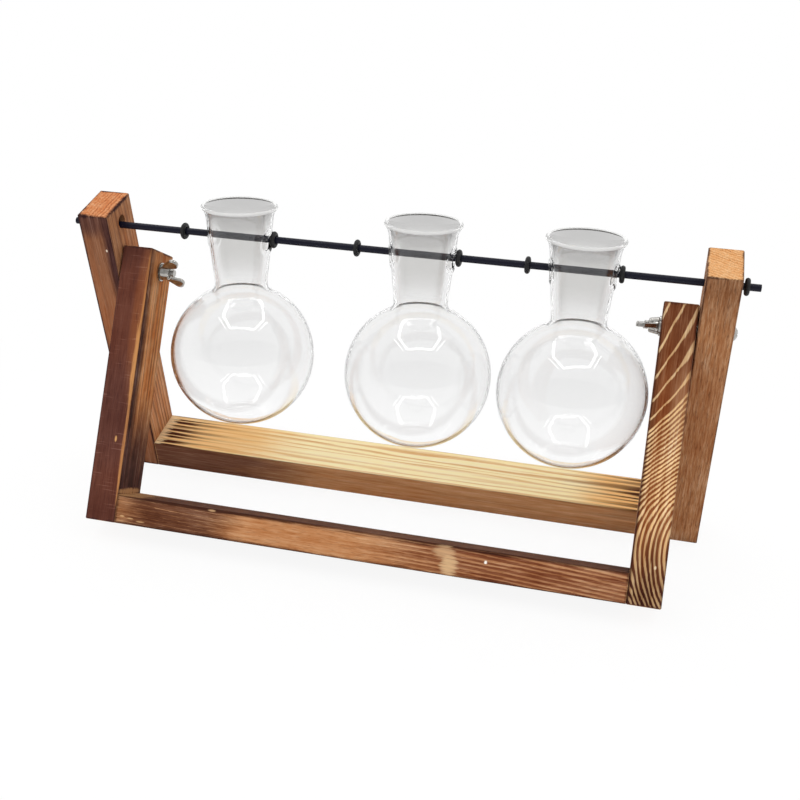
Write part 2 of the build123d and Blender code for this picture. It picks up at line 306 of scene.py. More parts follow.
    # The torch dwelt at the ends: darker ground there, lines kept.
    burnt = endMask(*zip(*timber["endChar"]), 1.2, 0.0)
    faces = {}
    for face in ("side", "front"):
        ground, lineColour, strength = timber[face]
        colour = add("Mix", {**inColour, 0: burnt, 6: linear(ground), 7: char}, 2)
        for patch in timber["patches"]:
            if patch[0] == face:
                mask = patchMask(patch, ragged, 0.9, 0.1)
                colour = add("Mix", {**inColour, 0: mask, 6: colour, 7: linear(patch[5])}, 2)
        shown = add("MapRange", {"Value": burnt, "To": (strength, 0.5 * strength)})
        if face == "side":
            shown = add("Math MAXIMUM", {0: shown, 1: swollen})
        amount = add("Math MULTIPLY", {0: line, 1: shown})
        tone = linear(lineColour)
        if timber["swell"]:
            tone = add("Mix", {**inColour, 0: swollen, 6: tone, 7: linear(swellColour)}, 2)
        faces[face] = add("Mix", {**inColour, 0: amount, 6: colour, 7: tone}, 2)
    ground, lineColour, strength = timber["end"]
    amount = add("Math MULTIPLY", {0: endLine, 1: strength})
    endColour = add("Mix", {**inColour, 0: amount, 6: linear(ground), 7: linear(lineColour)}, 2)
    colour = add("Mix", {**inColour, 0: onFront, 6: faces["side"], 7: faces["front"]}, 2)
    colour = add("Mix", {**inColour, 0: onEnd, 6: colour, 7: endColour}, 2)

    # Fine tone: fibres, streaks and clouds bend the colour, so dark places are also redder.
    depth = 2 * (timber["fibre"] + timber["streak"] + timber["blotch"])
    for noise, amount in ((fibre, timber["fibre"]), (streak, timber["streak"]), (cloud, timber["blotch"])):
        depth = add("Math MULTIPLY_ADD", {0: noise, 1: -4 * amount, 2: depth})
    calm = add("MapRange", {"Value": onFront, "To": (1.0, timber["calmFront"])})
    depth = add("Math MULTIPLY_ADD", {0: depth, 1: calm, 2: 1.0})
    if timber["scratches"]:
        sawn = add("Mapping", {"Vector": local, "Scale": (0.08, 0.08, 1.3)})
        cut = add("TexNoise", {"Vector": sawn, "Scale": 0.9, "Detail": 2.0})
        pale = add("MapRange", {"Value": cut, "From": (0.61, 0.7), "To Max": timber["scratches"]})
        pale = add("Math MULTIPLY", {0: pale, 1: onFront})
        depth = add("Math SUBTRACT", {0: depth, 1: pale})
    depth = add("Math MAXIMUM", {0: depth, 1: 0.4})
    colour = add("Gamma", {"Color": colour, "Gamma": depth})

    # What lies over the lines: pores, scorched edges, a rubbed end and the patches with a plus.
    speck = add("MapRange", {**smoothStep, "Value": pore, "From": (0.57, 0.7), "To Max": timber["pores"]})
    width = timber["edgeWidth"]
    inFrom = add("Math MULTIPLY_ADD", {0: ragged, 1: 2.4 * width, 2: edge})
    scorched = add("MapRange", {
        **smoothStep, "Value": inFrom, "From": (0.1, width), "To": (timber["edgeChar"], 0.0)})
    layers = [(speck, char), (scorched, char)]
    if timber["bareEnd"]:
        bareMm, bareColour, strength = timber["bareEnd"]
        inwards = add("Math ADD", {0: along, 1: halfAlong})
        inwards = add("Math MULTIPLY_ADD", {0: fray, 1: 4 * bareMm, 2: inwards})
        bare = add("MapRange", {
            **smoothStep, "Value": inwards, "From": (0.5 * bareMm, bareMm), "To": (strength, 0.0)})
        bare = add("Math MULTIPLY", {0: bare, 1: onSide})
        layers.append((bare, linear(bareColour)))
    for patch in timber["patches"]:
        if patch[0].endswith("+"):
            onFace = onFront if patch[0] == "front+" else onSide
            mask = add("Math MULTIPLY", {0: patchMask(patch, fray, 3.0, 0.1), 1: onFace})
            if patch[0] == "right+":  # only the side towards the viewer's right
                rightwards = add("Math GREATER_THAN", {0: across, 1: 0.0})
                mask = add("Math MULTIPLY", {0: mask, 1: rightwards})
            layers.append((mask, linear(patch[5])))
    for mask, tone in layers:
        colour = add("Mix", {**inColour, 0: mask, 6: colour, 7: tone}, 2)

    # Relief: fibres and lines stand a little proud, so the sealer glints unevenly.
    height = add("Math MULTIPLY_ADD", {0: line, 1: 0.5, 2: fibre})
    relief = add("Bump", {"Strength": 0.5, "Distance": timber["relief"] * mm, "Height": height})
    dull = add("MapRange", {"Value": fibre, "From": (0.3, 0.7), "To": timber["roughness"]})
    wood = add("BsdfPrincipled", {
        "Base Color": colour, "Roughness": dull, "Specular IOR Level": 0.06, "Normal": relief})
    add("OutputMaterial", {"Surface": wood})
    coat(frame["nodes"][node].data, material)


leftTallPost = {
    **pine, "size": (15, 25, 151), "seed": (3.0, 8.0, 1.0),
    "front": ("#A26A48", "#683F2C", 0.45), "side": ("#CA8E62", "#5A3022", 0.8),
    "end": ("#CE8656", "#924C28", 0.8),
    "tilt": 66.0, "endTilt": 0.0, "spacing": 2.9, "uneven": 0.85, "slope": 0.02, "wobble": 2.0,
    "endChar": ((25, 0.35), (60, 0.4)), "edgeChar": 0.95, "edgeWidth": 1.7,
    "fibre": 0.42, "calmFront": 0.6, "pores": 0.5,
    "patches": (
        ("front", 48, 7.0, 90, 10, "#3C2427", 0.9), ("front", 74, 0, 24, 24, "#4A2F2D", 0.75),
        ("front+", 57.5, 4.1, 1.7, 1.4, "#EBDCC6", 0.9)),
}
paintTimber("left_tall_post", leftTallPost)

rightTallPost = {
    **pine, "size": (15, 25, 151), "seed": (21.0, 3.0, 9.0),
    "front": ("#A87650", "#74482C", 0.45), "side": ("#B4825C", "#5E3826", 0.7),
    "end": ("#DFA872", "#AE7038", 0.8),
    "tilt": 35.0, "endTilt": 62.0, "spacing": 1.7, "endChar": ((6, 0.2), (30, 0.35)),
    "edgeChar": 0.8, "edgeWidth": 1.0, "fibreLength": 12.0, "fibre": 0.42, "streak": 0.16, "pores": 0.5,
}
paintTimber("right_tall_post", rightTallPost)

rearRail = {
    **pine, "upright": False, "size": (270, 25, 15.5), "seed": (5.0, 2.0, 14.0),
    "front": ("#BA865B", "#8A5A38", 0.4), "side": ("#FFEDBC", "#DC9E58", 0.85),
    "tilt": 78.0, "spacing": 3.1, "lineShare": 0.6, "swell": (46, 66, 1.5, "#451F10"), "slope": 0.014,
    "wobble": 2.6, "uneven": 0.7, "fibre": 0.27, "streak": 0.15, "blotch": 0.05, "pores": 0.0,
    "endChar": ((12, 0.25), (8, 0.2)), "edgeChar": 0.4, "edgeWidth": 0.7, "char": "#3C1E14",
    "bareEnd": (5.0, "#F6D6A6", 0.9),
    "patches": (
        ("front", -108, 0, 130, 44, "#694335", 0.9), ("side", -128, 0, 150, 70, "#F2B870", 0.75),
        ("side", 130, 0, 90, 70, "#F4B66A", 0.8)),
}
paintTimber("rear_rail", rearRail)

leftShortLeg = {
    **pine, "lean": -25.3, "size": (15, 25, 131.5), "seed": (9.0, 5.0, 4.0),
    "front": ("#653A2D", "#4A2820", 0.25), "side": ("#CC8650", "#643722", 0.75),
    "end": ("#C68B5C", "#A0683F", 0.6),
    "tilt": 84.0, "spacing": 3.0, "uneven": 0.85, "slope": 0.015, "wobble": 1.8, "scratches": 0.22,
    "endChar": ((20, 0.2), (14, 0.3)), "edgeChar": 0.85, "edgeWidth": 1.4, "char": "#2A161C",
    "fibre": 0.4, "calmFront": 0.3, "blotch": 0.34, "pores": 0.4,
    "patches": (
        ("side", 0, -12.5, 180, 17, "#2C1A20", 0.95), ("side", -56, 0, 112, 50, "#463030", 0.92),
        ("front", 30, 6, 90, 11, "#8A5234", 0.7), ("front", -14, -1, 70, 26, "#54332D", 0.6),
        ("front+", 12, 7.5, 66, 5.0, "#CC9058", 0.9), ("front+", 47, 7.5, 48, 3.0, "#B87A48", 0.8),
        ("front+", -32, 7.5, 68, 3.2, "#C08450", 0.85), ("front+", -26.4, 2.4, 3.4, 1.3, "#DDA667", 0.8),
        ("right+", -51.0, 0, 3.6, 30, "#C39263", 0.85)),
}
paintTimber("left_short_leg", leftShortLeg)

rightShortLeg = {
    **pine, "lean": -25.3, "size": (15, 25, 131.5), "seed": (1.0, 7.0, 2.0),
    "front": ("#8C502C", "#FBD29A", 1.0), "side": ("#A0694A", "#C79A6E", 0.6),
    "tilt": 180.0, "offset": 12.0, "spacing": 2.05, "lineShare": 0.62, "wide": (54.0, 6.2, 0.18),
    "flare": (("front", 46, 8, 46, 13, None, 2.0),), "wobble": 0.75, "uneven": 0.4,
    "drift": ((0, 7.5), (14, 1.6), (27, 0), (40, 3.2), (50, 10.0), (58, 18), (70, 30), (80, 39), (90, 46.5),
              (102, 53.5), (112, 58.5), (131.5, 66)),
    "endChar": ((44, 0.9), (76, 0.5)), "edgeChar": 0.75, "edgeWidth": 1.3, "char": "#3A1D18",
    "fibre": 0.32, "streak": 0.2, "pores": 0.2,
    "patches": (
        ("front", 0, -7.5, 140, 7, "#43200F", 0.6), ("front", 22, 5, 44, 10, "#AE7F5C", 0.5),
        ("front+", -48.5, 2.8, 2.2, 1.2, "#F2D9B4", 0.8)),
}
paintTimber("right_short_leg", rightShortLeg)

frontRail = {
    **pine, "lean": -25.3, "upright": False, "size": (238.8, 25, 13.5), "seed": (13.0, 1.0, 6.0),
    "front": ("#BA8155", "#C48E62", 0.85), "side": ("#5A3422", "#6A442F", 0.4),
    "tilt": 20.0, "spacing": 1.75, "lineShare": 0.56, "uneven": 0.3, "slope": 0.008, "wobble": 0.9,
    "drift": ((0, 0), (60, 1.2), (120, 0.4), (180, 1.6), (238.8, 4.5)),
    "endChar": ((6, 0.2), (16, 0.3)), "edgeChar": 0.8, "edgeWidth": 1.5, "char": "#351A12",
    "flare": (("front", -60, 0, 190, 70, None, -0.85),), "fibreLength": 14.0,
    "bareEnd": (14.0, "#B98A5C", 0.75), "fibre": 0.26, "streak": 0.18, "pores": 0.3,
    "patches": (
        ("front", 82, 1, 176, 40, "#77432B", 0.95), ("front", 10, 7, 220, 5, "#4E2D20", 0.85),
        ("front", -90, 1, 70, 44, "#532F24", 0.85), ("front+", 38.6, 3.4, 11, 8, "#D2AC82", 0.65),
        ("front+", 41.4, -1.8, 9, 11, "#DDB98C", 0.75), ("front+", 57.5, 1.7, 1.6, 1.6, "#FBF6EC", 1.0),
        ("front+", -71.8, 5.9, 4.4, 1.1, "#CBA276", 0.75), ("front+", -115.9, -3.0, 2.6, 1.0, "#D2A878", 0.8),
        ("front+", -111.7, -3.6, 3.4, 0.8, "#CFA474", 0.75),
        ("front+", -106.4, -4.5, 4.4, 0.7, "#C69B6C", 0.75)),
}
paintTimber("front_rail", frontRail)
print("timber painted")


# Beech dowels, hidden in the butt joints: pale close wood that a taken-apart stand shows.
beech, add = newMaterial("plain beech, sanded")
place = add("TexCoord", {}, "Object")
lengthwise = add("Mapping", {"Vector": place, "Scale": (0.06 / mm, 0.9 / mm, 0.9 / mm)})
fleck = add("TexNoise", {"Vector": lengthwise, "Scale": 1.0, "Detail": 4.0})
beechTone = add("Mix", {**inColour, 0: fleck, 6: linear("#B98F64"), 7: linear("#E0BF96")}, 2)
beechWood = add("BsdfPrincipled", {"Base Color": beechTone, "Roughness": 0.6})
add("OutputMaterial", {"Surface": beechWood})
for node in frame["nodes"]:
    if node.endswith("dowel"):
        coat(frame["nodes"][node].data, beech)


# Black rod: satin lacquer, a soft broken glint along its top.
lacquer, add = newMaterial("black lacquer, satin on steel")
place = add("TexCoord", {}, "Object")
drawn = add("Mapping", {"Vector": place, "Scale": (0.18 / mm, 2.6 / mm, 2.6 / mm)})
drag = add("TexNoise", {"Vector": drawn, "Scale": 1.0, "Detail": 4.0})
sheen = add("MapRange", {"Value": drag, "From": (0.3, 0.7), "To": (0.34, 0.5)})
lift = add("Bump", {"Strength": 0.2, "Distance": 0.02 * mm, "Height": drag})
rodCoat = add("BsdfPrincipled", {
    "Base Color": linear("#0C0D20"), "Roughness": sheen, "Specular IOR Level": 0.22, "Normal": lift})
add("OutputMaterial", {"Surface": rodCoat})
coat(frame["nodes"]["hanging_rod"].data, lacquer)


# Rubber rings: matt black with a fine grain and a parting line round the outside.
rubber, add = newMaterial("black rubber, moulded matt")
place = add("TexCoord", {}, "Object")
grit = add("TexNoise", {"Vector": place, "Scale": 5.2 / mm, "Detail": 3.0})
dull = add("MapRange", {"Value": grit, "From": (0.3, 0.7), "To": (0.5, 0.68)})
lift = add("Bump", {"Strength": 0.25, "Distance": 0.02 * mm, "Height": grit})
ringSkin = add("BsdfPrincipled", {
    "Base Color": linear("#151517"), "Roughness": dull, "Specular IOR Level": 0.4, "Normal": lift})
add("OutputMaterial", {"Surface": ringSkin})

ring = {
    "seamProud": 0.03,     # mm, parting line above the rubber
    "seamWidth": 0.22,     # mm
    "stepsAround": 72,
    "stepsSection": 24,
    "stepsSeam": 8,
}
ringTree, add, given = newTree(
    "rubber ring", {"Ring radius": "Float", "Section radius": "Float", "Place": "Vector"})
outside = add("ShaderNodeMath ADD", {0: given["Ring radius"], 1: given["Section radius"]})
seamIn = (ring["seamProud"] - ring["seamWidth"] / 2) * mm
outside = add("ShaderNodeMath ADD", {0: outside, 1: seamIn})
hoops = []
for radius, sectionRadius, steps in (
        (given["Ring radius"], given["Section radius"], ring["stepsSection"]),
        (outside, ring["seamWidth"] / 2 * mm, ring["stepsSeam"])):
    path = add("GeometryNodeCurvePrimitiveCircle", {"Resolution": ring["stepsAround"], "Radius": radius})
    section = add("GeometryNodeCurvePrimitiveCircle", {"Resolution": steps, "Radius": sectionRadius})
    hoops.append(add("GeometryNodeCurveToMesh", {"Curve": path, "Profile Curve": section}))
both = add("GeometryNodeJoinGeometry", {"Geometry": hoops[0]})
ringTree.links.new(hoops[1], both.node.inputs[0])
stood = add("GeometryNodeTransform", {
    "Geometry": both, "Translation": given["Place"], "Rotation": (0, math.pi / 2, 0)})
closeTree(add, add("GeometryNodeSetShadeSmooth", {"Geometry": stood}), rubber)

bodies = frame["record"]["behaviour"]["bodies"]
ringBodies = {n: body for body, members in bodies.items() for n in members if n.endswith("ring")}
for node, bodyName in ringBodies.items():
    lo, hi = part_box(node)
    sectionRadius = (hi.x - lo.x) / 2
    obj = newObject(node + "_moulded", bpy.data.meshes.new(node), rubber)
    bakeTree(obj, ringTree, {
        "Ring radius": (hi.z - lo.z) / 2 - sectionRadius,
        "Section radius": sectionRadius - ring["seamProud"] * mm, "Place": (lo + hi) / 2})
    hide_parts(node)
    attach(obj, bodyName)
print("rubber rings moulded:", len(ringBodies))


# Bright zinc: grey-white plating, bright edges and soft dark patches where it mirrors the wood.
zinc, add = newMaterial("zinc plating, bright")
place = add("TexCoord", {}, "Object")
mottle = add("TexNoise", {"Vector": place, "Scale": 0.9 / mm, "Detail": 4.0})
gloss = add("MapRange", {"Value": mottle, "From": (0.3, 0.7), "To": (0.06, 0.18)})
plate = add("Mix", {**inColour, 0: mottle, 6: linear("#87837D"), 7: linear("#CFCDC9")}, 2)
plating = add("BsdfPrincipled", {"Base Color": plate, "Metallic": 1.0, "Roughness": gloss})
add("OutputMaterial", {"Surface": plating})
for node in ("left_washer", "right_washer"):
    coat(frame["nodes"][node].data, zinc)

bolt = {
    "headDiameter": 7.6, "headHeight": 2.4, "headEdge": 0.15,    # mm
    "recessWidth": 1.1, "recessReach": 4.4, "recessDepth": 1.3,
    "crestDiameter": 4.0, "rootDiameter": 3.3, "pitch": 0.7, "threadLength": 14.0,
    "ridgeShare": 0.36,        # of the pitch, half a ridge's thickness
    "domeShare": 0.998,        # keeps the dome inside its edge
    "stepsAround": 72, "stepsDome": 14, "stepsShank": 48, "stepsTurn": 40, "stepsRidge": 8,
}
nut = {
    "hubDiameter": 8.0, "hubTopDiameter": 6.6, "hubHeight": 4.6, "bore": 4.3,    # mm
    "footChamfer": 0.3, "topChamfer": 0.5,
    "span": 18.0, "height": 10.0, "thickness": 1.9, "tipRadius": 2.6,
    "tipFrom": -52, "tipSweep": 200,           # degrees round each wing's tip
    "foot": (0.3, 0.5), "footReach": 0.2,      # mm, a wing's foot off the bore, the seat and the hub's side
    "waist": (2.9, 2.6),                       # mm in from the tip's centre and below it
    "crown": (0.9, 0.4), "heel": (0.3, 0.7),   # mm off the bore and below the hub's top, where a wing ends
    "turns": {"left": 31.0, "right": 74.0},    # degrees that the wings are turned
    "voxel": 0.2,                              # mm
    "stepsAround": 64, "stepsTip": 24, "tumbles": 7,
}


def onCircle(radius, angle, height):  # a point in metres, from mm about Z
    return (radius * math.cos(angle) * mm, radius * math.sin(angle) * mm, height * mm)


def bridge(shape, here, there):  # a band of faces between two closed loops
    for k in range(len(here)):
        j = (k + 1) % len(here)
        shape.faces.new((here[k], here[j], there[j], there[k]))


def lathe(profile, steps):  # closed profile of radius and height in mm, about Z
    shape = bmesh.new()
    rows = []
    for k in range(steps):
        angle = 2 * math.pi * k / steps
        rows.append([shape.verts.new(onCircle(r, angle, z)) for r, z in profile])
    for k in range(steps):
        bridge(shape, rows[k], rows[(k + 1) % steps])
    bmesh.ops.remove_doubles(shape, verts=shape.verts, dist=1e-7)
    bmesh.ops.recalc_face_normals(shape, faces=shape.faces)
    return shape


def smoothed(mesh):
    mesh.polygons.foreach_set("use_smooth", [True] * len(mesh.polygons))
    return mesh


def meshOf(shape, name):
    mesh = bpy.data.meshes.new(name)
    shape.to_mesh(mesh)
    shape.free()
    return smoothed(mesh)


def wingNutMesh():
    hub, top, height = nut["hubDiameter"] / 2, nut["hubTopDiameter"] / 2, nut["hubHeight"]
    hole, low, high = nut["bore"] / 2, nut["footChamfer"], nut["topChamfer"]
    shape = lathe([
        (hole, 0.0), (hub - low, 0.0), (hub, low), (top, height - high), (top - high, height),
        (hole + high, height), (hole, height - high)], nut["stepsAround"])
    radius = nut["tipRadius"]
    tip, tipHeight = nut["span"] / 2 - radius, nut["height"] - radius
    (footIn, footUp), (waistIn, waistDown) = nut["foot"], nut["waist"]
    for side in (1, -1):
        outline = [(hole + footIn, footUp), (hub - nut["footReach"], footUp)]
        for k in range(nut["stepsTip"] + 1):
            angle = math.radians(nut["tipFrom"] + nut["tipSweep"] * k / nut["stepsTip"])
            outline.append((tip + radius * math.cos(angle), tipHeight + radius * math.sin(angle)))
        outline.append((tip - waistIn, tipHeight - waistDown))
        outline += [(hole + off, height - down) for off, down in (nut["crown"], nut["heel"])]
        loops = []
        for y in (-nut["thickness"] / 2, nut["thickness"] / 2):
            loops.append([shape.verts.new((side * x * mm, y * mm, z * mm)) for x, z in outline])
            shape.faces.new(loops[-1])
        bridge(shape, *loops)
    bmesh.ops.triangulate(shape, faces=[f for f in shape.faces if len(f.verts) > 4])
    bmesh.ops.recalc_face_normals(shape, faces=shape.faces)
    obj = newObject("rough nut", meshOf(shape, "wing nut"), zinc)
    skin = obj.modifiers.new("cast skin", "REMESH")
    skin.mode = "VOXEL"
    skin.voxel_size = nut["voxel"] * mm
    soften = obj.modifiers.new("tumbled", "SMOOTH")
    soften.iterations = nut["tumbles"]
    soften.factor = 0.5
    mesh = finishedMesh(obj)
    bpy.data.objects.remove(obj)
    return smoothed(mesh)


def boltHead():
    radius, height, steps = bolt["headDiameter"] / 2, bolt["headHeight"], bolt["stepsDome"]
    profile = [(0.0, 0.0), (radius - bolt["headEdge"], 0.0), (radius, bolt["headEdge"])]
    ball = (radius * radius + height * height) / (2 * height)
    for k in range(1, steps + 1):
        angle = math.asin(radius / ball) * (1 - k / steps)
        profile.append((ball * math.sin(angle) * bolt["domeShare"], height - ball + ball * math.cos(angle)))
    obj = newObject("rough head", meshOf(lathe(profile, bolt["stepsAround"]), "bolt head"), zinc)
    cutter = bmesh.new()
    for size in ((bolt["recessReach"], bolt["recessWidth"]), (bolt["recessWidth"], bolt["recessReach"])):
        block = bmesh.ops.create_cube(cutter, size=1.0)["verts"]
        bmesh.ops.scale(cutter, vec=Vector((*size, 2 * bolt["recessDepth"])) * mm, verts=block)
        bmesh.ops.translate(cutter, vec=(0, 0, height * mm), verts=block)
    tool = newObject("recess", meshOf(cutter, "recess"), zinc)
    cut = obj.modifiers.new("recess", "BOOLEAN")
    cut.operation = "DIFFERENCE"
    cut.object = tool
    cut.solver = "EXACT"
    cut.use_self = True
    mesh = finishedMesh(obj)
    bpy.data.objects.remove(obj)
    bpy.data.objects.remove(tool)
    return mesh


threadTree, add, given = newTree("threaded shank", {
    "Head": "Geometry", "Length": "Float", "Thread length": "Float", "Root radius": "Float",
    "Crest radius": "Float", "Pitch": "Float"})
plainLength = add("ShaderNodeMath SUBTRACT", {0: given["Length"], 1: given["Thread length"]})
turns = add("ShaderNodeMath DIVIDE", {0: given["Thread length"], 1: given["Pitch"]})
ridgeRadius = add("ShaderNodeMath MULTIPLY", {0: given["Pitch"], 1: bolt["ridgeShare"]})
helixRadius = add("ShaderNodeMath SUBTRACT", {0: given["Crest radius"], 1: ridgeRadius})
core = add("GeometryNodeMeshCylinder", {
    "Vertices": bolt["stepsShank"], "Radius": given["Root radius"], "Depth": given["Length"]})
plain = add("GeometryNodeMeshCylinder", {
    "Vertices": bolt["stepsShank"], "Radius": given["Crest radius"], "Depth": plainLength})
helix = add("GeometryNodeCurveSpiral", {
    "Resolution": bolt["stepsTurn"], "Rotations": turns, "Start Radius": helixRadius,
    "End Radius": helixRadius, "Height": given["Thread length"]})
ridge = add("GeometryNodeCurvePrimitiveCircle", {"Resolution": bolt["stepsRidge"], "Radius": ridgeRadius})
thread = add("GeometryNodeCurveToMesh", {"Curve": helix, "Profile Curve": ridge, "Fill Caps": True})
whole = add("GeometryNodeJoinGeometry", {"Geometry": given["Head"]})
for part, length, share in ((core, given["Length"], -0.5), (plain, plainLength, -0.5),
                            (thread, given["Length"], -1.0)):
    drop = add("ShaderNodeMath MULTIPLY", {0: length, 1: share})
    place = add("ShaderNodeCombineXYZ", {"Z": drop})
    moved = add("GeometryNodeTransform", {"Geometry": part, "Translation": place})
    threadTree.links.new(moved, whole.node.inputs[0])
closeTree(add, whole, zinc)

nutMesh = wingNutMesh()
headMesh = boltHead()
for side, inward in (("left", 1), ("right", -1)):
    lo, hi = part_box(side + "_washer")
    seat = hi.x if inward > 0 else lo.x
    quarter = Matrix.Rotation(math.radians(90 * inward), 4, "Y")
    spin = Matrix.Rotation(math.radians(inward * nut["turns"][side]), 4, "Z")
    mesh = nutMesh.copy()
    mesh.transform(Matrix.Translation((seat, pivotAxis.y, pivotAxis.z)) @ quarter @ spin)
    obj = newObject(side + "_wing_nut_cast", mesh, zinc)
    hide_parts(side + "_wing_nut")
    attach(obj, side + "_wing_nut")
    lo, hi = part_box(side + "_pivot_bolt")
    outer = lo.x if inward > 0 else hi.x
    collar = outer + inward * bolt["headHeight"] * mm
    obj = newObject(side + "_bolt_threaded", headMesh.copy(), zinc)
    bakeTree(obj, threadTree, {
        "Length": hi.x - lo.x - bolt["headHeight"] * mm, "Thread length": bolt["threadLength"] * mm,
        "Root radius": bolt["rootDiameter"] / 2 * mm, "Crest radius": bolt["crestDiameter"] / 2 * mm,
        "Pitch": bolt["pitch"] * mm})
    laid = Matrix.Rotation(math.radians(-90 * inward), 4, "Y")
    obj.data.transform(Matrix.Translation((collar, pivotAxis.y, pivotAxis.z)) @ laid)
    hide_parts(side + "_pivot_bolt")
    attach(obj, "tall_frame")
print("nuts and bolts made")


# Clear blown glass: white lines from the lamps, and painted shade in its colour: a grey neck and mouth, a
# greyer top of the bulb and a thin grey outline where the wall turns away.
# The wall is too thin to bend what lies behind, so its body hardly does, and a gloss coat mirrors the lamps.
glassLook = {
    "neck": "#D2D1CF",         # painted shade on the inside of the neck
    "shoulder": "#F8F8F8",     # painted shade on the top of the bulb
    "foot": "#FFFFFF",         # bottom of the bulb
    "mouth": "#A6A5A4",        # painted shade on the inside of the flare
    "outline": "#6E6E70",      # painted shade where the outer wall turns away
    "neckFrom": -24.0, "neckTo": -9.0,  # mm from the rod, where the neck's painted grey starts and is full
    "bulbFrom": -86.0, "bulbTo": -60.0,
    "flareFrom": 1.0, "flareTo": 12.0,
    "shoulderHigh": -15.0, "shoulderLow": -34.0,  # no painted outline between these
    "neckTurn": (0.25, 0.55), "outlineTurn": (0.69, 0.84),  # share turned away as the painted grey goes and comes
}
glass, add = newMaterial("clear glass, blown")
place = add("TexCoord", {}, "Object")
up = add("SeparateXYZ", {0: place}, 2)
# Painted shade in the base colour: grey on the neck's inner wall where seen head-on, grey inside the flare,
# greyer towards the top of the bulb, and a grey outline where the outer wall turns away.
shoulderShade, upNeck, upFlare = (
    add("MapRange", {
        **smoothStep, "Value": up,
        "From": (rodAxis.z + glassLook[part + "From"] * mm, rodAxis.z + glassLook[part + "To"] * mm)})
    for part in ("bulb", "neck", "flare"))
inner = add("Attribute", {"attribute_name": "innerWall"}, "Fac")
facing = add("LayerWeight", {"Blend": 0.5}, "Facing")
headOn = add("MapRange", {**smoothStep, "Value": facing, "From": glassLook["neckTurn"], "To": (1.0, 0.0)})
neckShade = add("Math MULTIPLY", {0: upNeck, 1: inner})
neckShade = add("Math MULTIPLY", {0: neckShade, 1: headOn})
mouthShade = add("Math MULTIPLY", {0: upFlare, 1: inner})
outlineShade = add("MapRange", {**smoothStep, "Value": facing, "From": glassLook["outlineTurn"]})
outlineShade = add("Math SUBTRACT", {0: outlineShade, 1: inner, "use_clamp": True})
middle = (glassLook["shoulderHigh"] + glassLook["shoulderLow"]) / 2
reach = (glassLook["shoulderHigh"] - glassLook["shoulderLow"]) / 2
fromShoulder = add("Math SUBTRACT", {0: up, 1: rodAxis.z + middle * mm})
fromShoulder = add("Math ABSOLUTE", {0: fromShoulder})
clear = add("MapRange", {"Value": fromShoulder, "From": (0.7 * reach * mm, reach * mm)})
outlineShade = add("Math MULTIPLY", {0: outlineShade, 1: clear})
tintWithPaintedShade = linear(glassLook["foot"])
for share, name in ((shoulderShade, "shoulder"), (neckShade, "neck"), (mouthShade, "mouth"), (outlineShade, "outline")):
    tintWithPaintedShade = add("Mix", {**inColour, 0: share, 6: tintWithPaintedShade, 7: linear(glassLook[name])}, 2)
wallGlass = add("BsdfPrincipled", {
    "Base Color": tintWithPaintedShade, "Roughness": 0.0, "IOR": 1.09, "Transmission Weight": 1.0, "Coat Weight": 1.0,
    "Coat Roughness": 0.0, "Coat IOR": 1.5})
inside = add("VolumeAbsorption", {"Color": linear("#BCBCBA"), "Density": 6.0})
add("OutputMaterial", {"Surface": wallGlass, "Volume": inside})

# Fire-polished rim: a pale bead that catches light from all sides.
rimGlass, add = newMaterial("clear glass, fire-polished rim")
bead = add("BsdfPrincipled", {
    "Base Color": linear("#F8F8F7"), "Roughness": 0.08, "IOR": 1.3, "Transmission Weight": 0.5})
add("OutputMaterial", {"Surface": bead})

flask = {
    "bulbDiameter": 68.8, "bulbBelowRod": 57.9, "wall": 1.3, "baseDiameter": 24.0, "punt": 0.8,   # mm
    "neckRootDiameter": 24.8, "neckRoot": -21.8, "neckTopDiameter": 31.2, "neckTop": 8.6, "shoulder": 5.0,
    "rimRadius": 0.9, "rimDiameter": 35.4, "rimTop": 15.0,
    "rimFrom": -35, "rimTo": 145, "rimStep": 15,  # degrees round the rim's bead
    "outerFlare": ((0.2, 2.0), (-1.14, -1.64)),   # mm, handles of the curves between neck and rim
    "innerFlare": ((-1.0, -1.73), (0.2, 1.6)),
    "holeDiameter": 6.4, "holeDrop": 1.55, "beadSection": 1.25, "beadEdge": 6.6,
    "windowHalf": 8.0,                            # mm of neck above and below a hole that are woven round it
    "columns": 96, "windowColumns": 9, "windowRows": 16,
    "baseRows": 8, "bulbRows": 48, "shoulderRows": 10, "neckRows": 5,
    "outerFlareRows": 6, "innerFlareRows": 7,
    "blendRows": 4, "swellRows": 6, "roundRows": 5,   # from the window in to a hole's bead
}


def neckRadius(z):
    share = (z - flask["neckRoot"]) / (flask["neckTop"] - flask["neckRoot"])
    return (flask["neckRootDiameter"] + share * (flask["neckTopDiameter"] - flask["neckRootDiameter"])) / 2


def stepped(start, stop, steps):  # even steps after the first value
    return [start + (stop - start) * k / steps for k in range(1, steps + 1)]


def bezier(a, handles, d, steps):  # points after the first one; a handle is how far it lies from its end
    (leaveX, leaveY), (arriveX, arriveY) = handles
    corners = (a, (a[0] + leaveX, a[1] + leaveY), (d[0] + arriveX, d[1] + arriveY), d)
    points = []
    for t in stepped(0, 1, steps):
        weights = ((1 - t) ** 3, 3 * t * (1 - t) ** 2, 3 * t * t * (1 - t), t ** 3)
        points.append(tuple(sum(w * p[i] for w, p in zip(weights, corners)) for i in (0, 1)))
    return points


